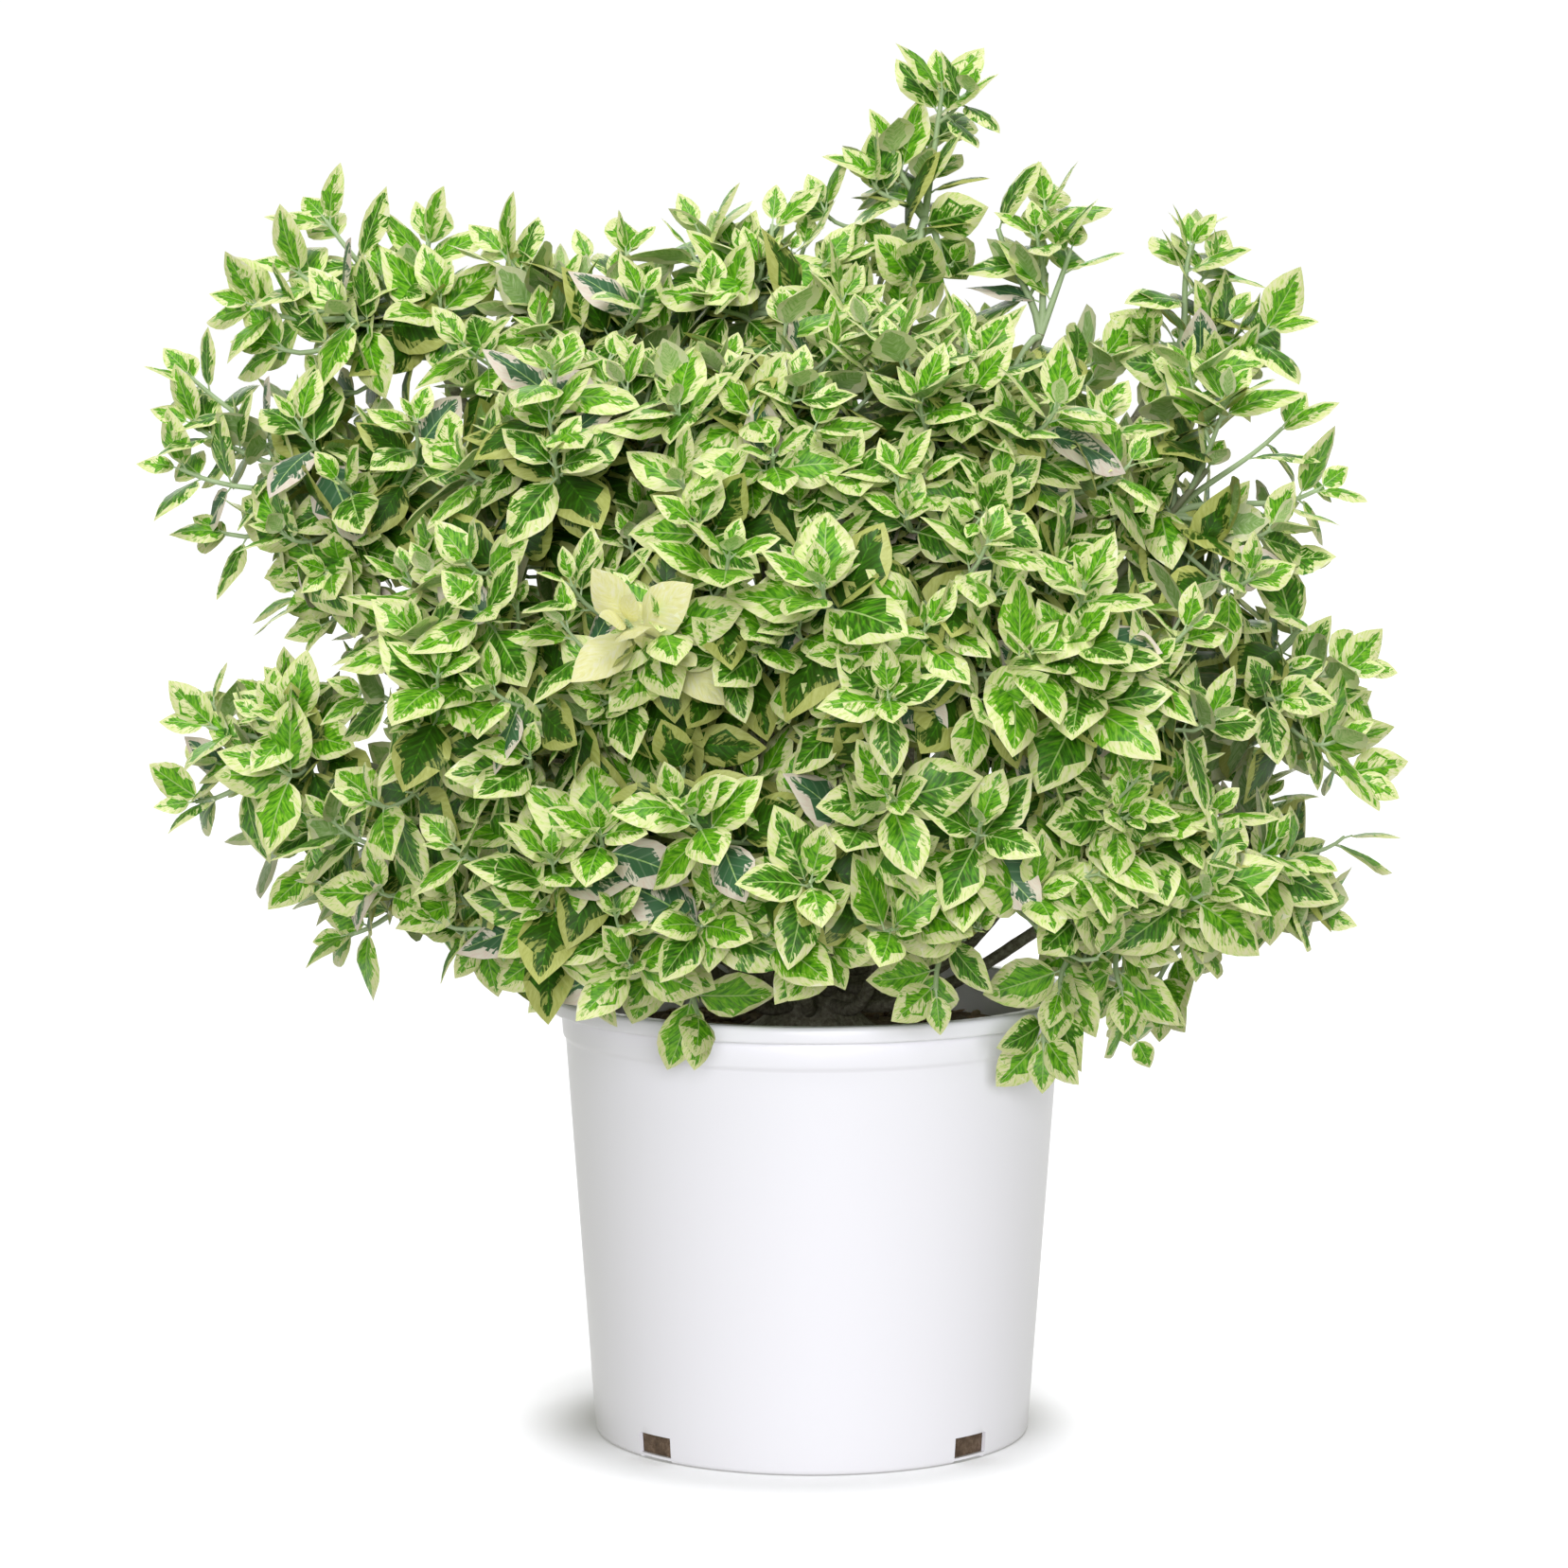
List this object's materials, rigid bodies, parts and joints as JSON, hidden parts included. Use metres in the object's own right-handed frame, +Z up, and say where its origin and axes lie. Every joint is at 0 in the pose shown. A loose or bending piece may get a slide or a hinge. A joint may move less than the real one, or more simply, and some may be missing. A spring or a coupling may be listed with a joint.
{
  "type": "potted variegated wintercreeper shrub",
  "caption": "Rounded evergreen shrub with small green leaves edged in cream, growing in a plain white plastic nursery pot with drain holes.",
  "frame": {"origin": "middle of the pot's flat foot, where it stands on the ground", "axes": "+Z up along the pot's axis, -Y towards the viewer in the picture, +X to the viewer's right"},
  "size_m": [0.6777, 0.5814, 0.7347],
  "materials": {
    "white_plastic": "semi-gloss white moulded plastic",
    "potting_mix": "rough dark bark-based potting mix",
    "bark": "grey-brown bark",
    "variegated_leaf": "leathery green leaf with a cream edge"
  },
  "bodies": {
    "root": {"pot": "white_plastic", "potting_mix": "potting_mix", "stem": "bark", "bough_front_low_left": "bark", "bough_front_low": "bark", "bough_front_low_right": "bark", "bough_right_low_front": "bark", "bough_left_low_front": "bark", "bough_left_low": "bark", "bough_right_low": "bark", "bough_left_mid_front": "bark", "bough_front_mid_left": "bark", "bough_front_mid_right": "bark", "bough_right_mid_front": "bark", "bough_right_mid": "bark", "bough_left_high_front": "bark", "bough_front_high": "bark", "bough_right_high_front": "bark", "bough_right_high": "bark", "bough_left_high": "bark", "bough_right_top": "bark", "bough_left_top": "bark", "bough_top_leader": "bark", "bough_top_mid": "bark", "bough_top_left": "bark", "bough_top_right": "bark", "bough_back_left": "bark", "bough_back_low": "bark", "bough_back_right": "bark", "bough_back_high_left": "bark", "bough_back_high_right": "bark", "foliage_front_low_left": "variegated_leaf", "foliage_front_low": "variegated_leaf", "foliage_front_low_right": "variegated_leaf", "foliage_right_low_front": "variegated_leaf", "foliage_left_low_front": "variegated_leaf", "foliage_left_low": "variegated_leaf", "foliage_right_low": "variegated_leaf", "foliage_left_mid_front": "variegated_leaf", "foliage_front_mid_left": "variegated_leaf", "foliage_front_mid_right": "variegated_leaf", "foliage_right_mid_front": "variegated_leaf", "foliage_right_mid": "variegated_leaf", "foliage_left_high_front": "variegated_leaf", "foliage_front_high": "variegated_leaf", "foliage_right_high_front": "variegated_leaf", "foliage_right_high": "variegated_leaf", "foliage_left_high": "variegated_leaf", "foliage_right_top": "variegated_leaf", "foliage_left_top": "variegated_leaf", "foliage_top_leader": "variegated_leaf", "foliage_top_mid": "variegated_leaf", "foliage_top_left": "variegated_leaf", "foliage_top_right": "variegated_leaf", "foliage_back_left": "variegated_leaf", "foliage_back_low": "variegated_leaf", "foliage_back_right": "variegated_leaf", "foliage_back_high_left": "variegated_leaf", "foliage_back_high_right": "variegated_leaf"}
  },
  "joints": []
}
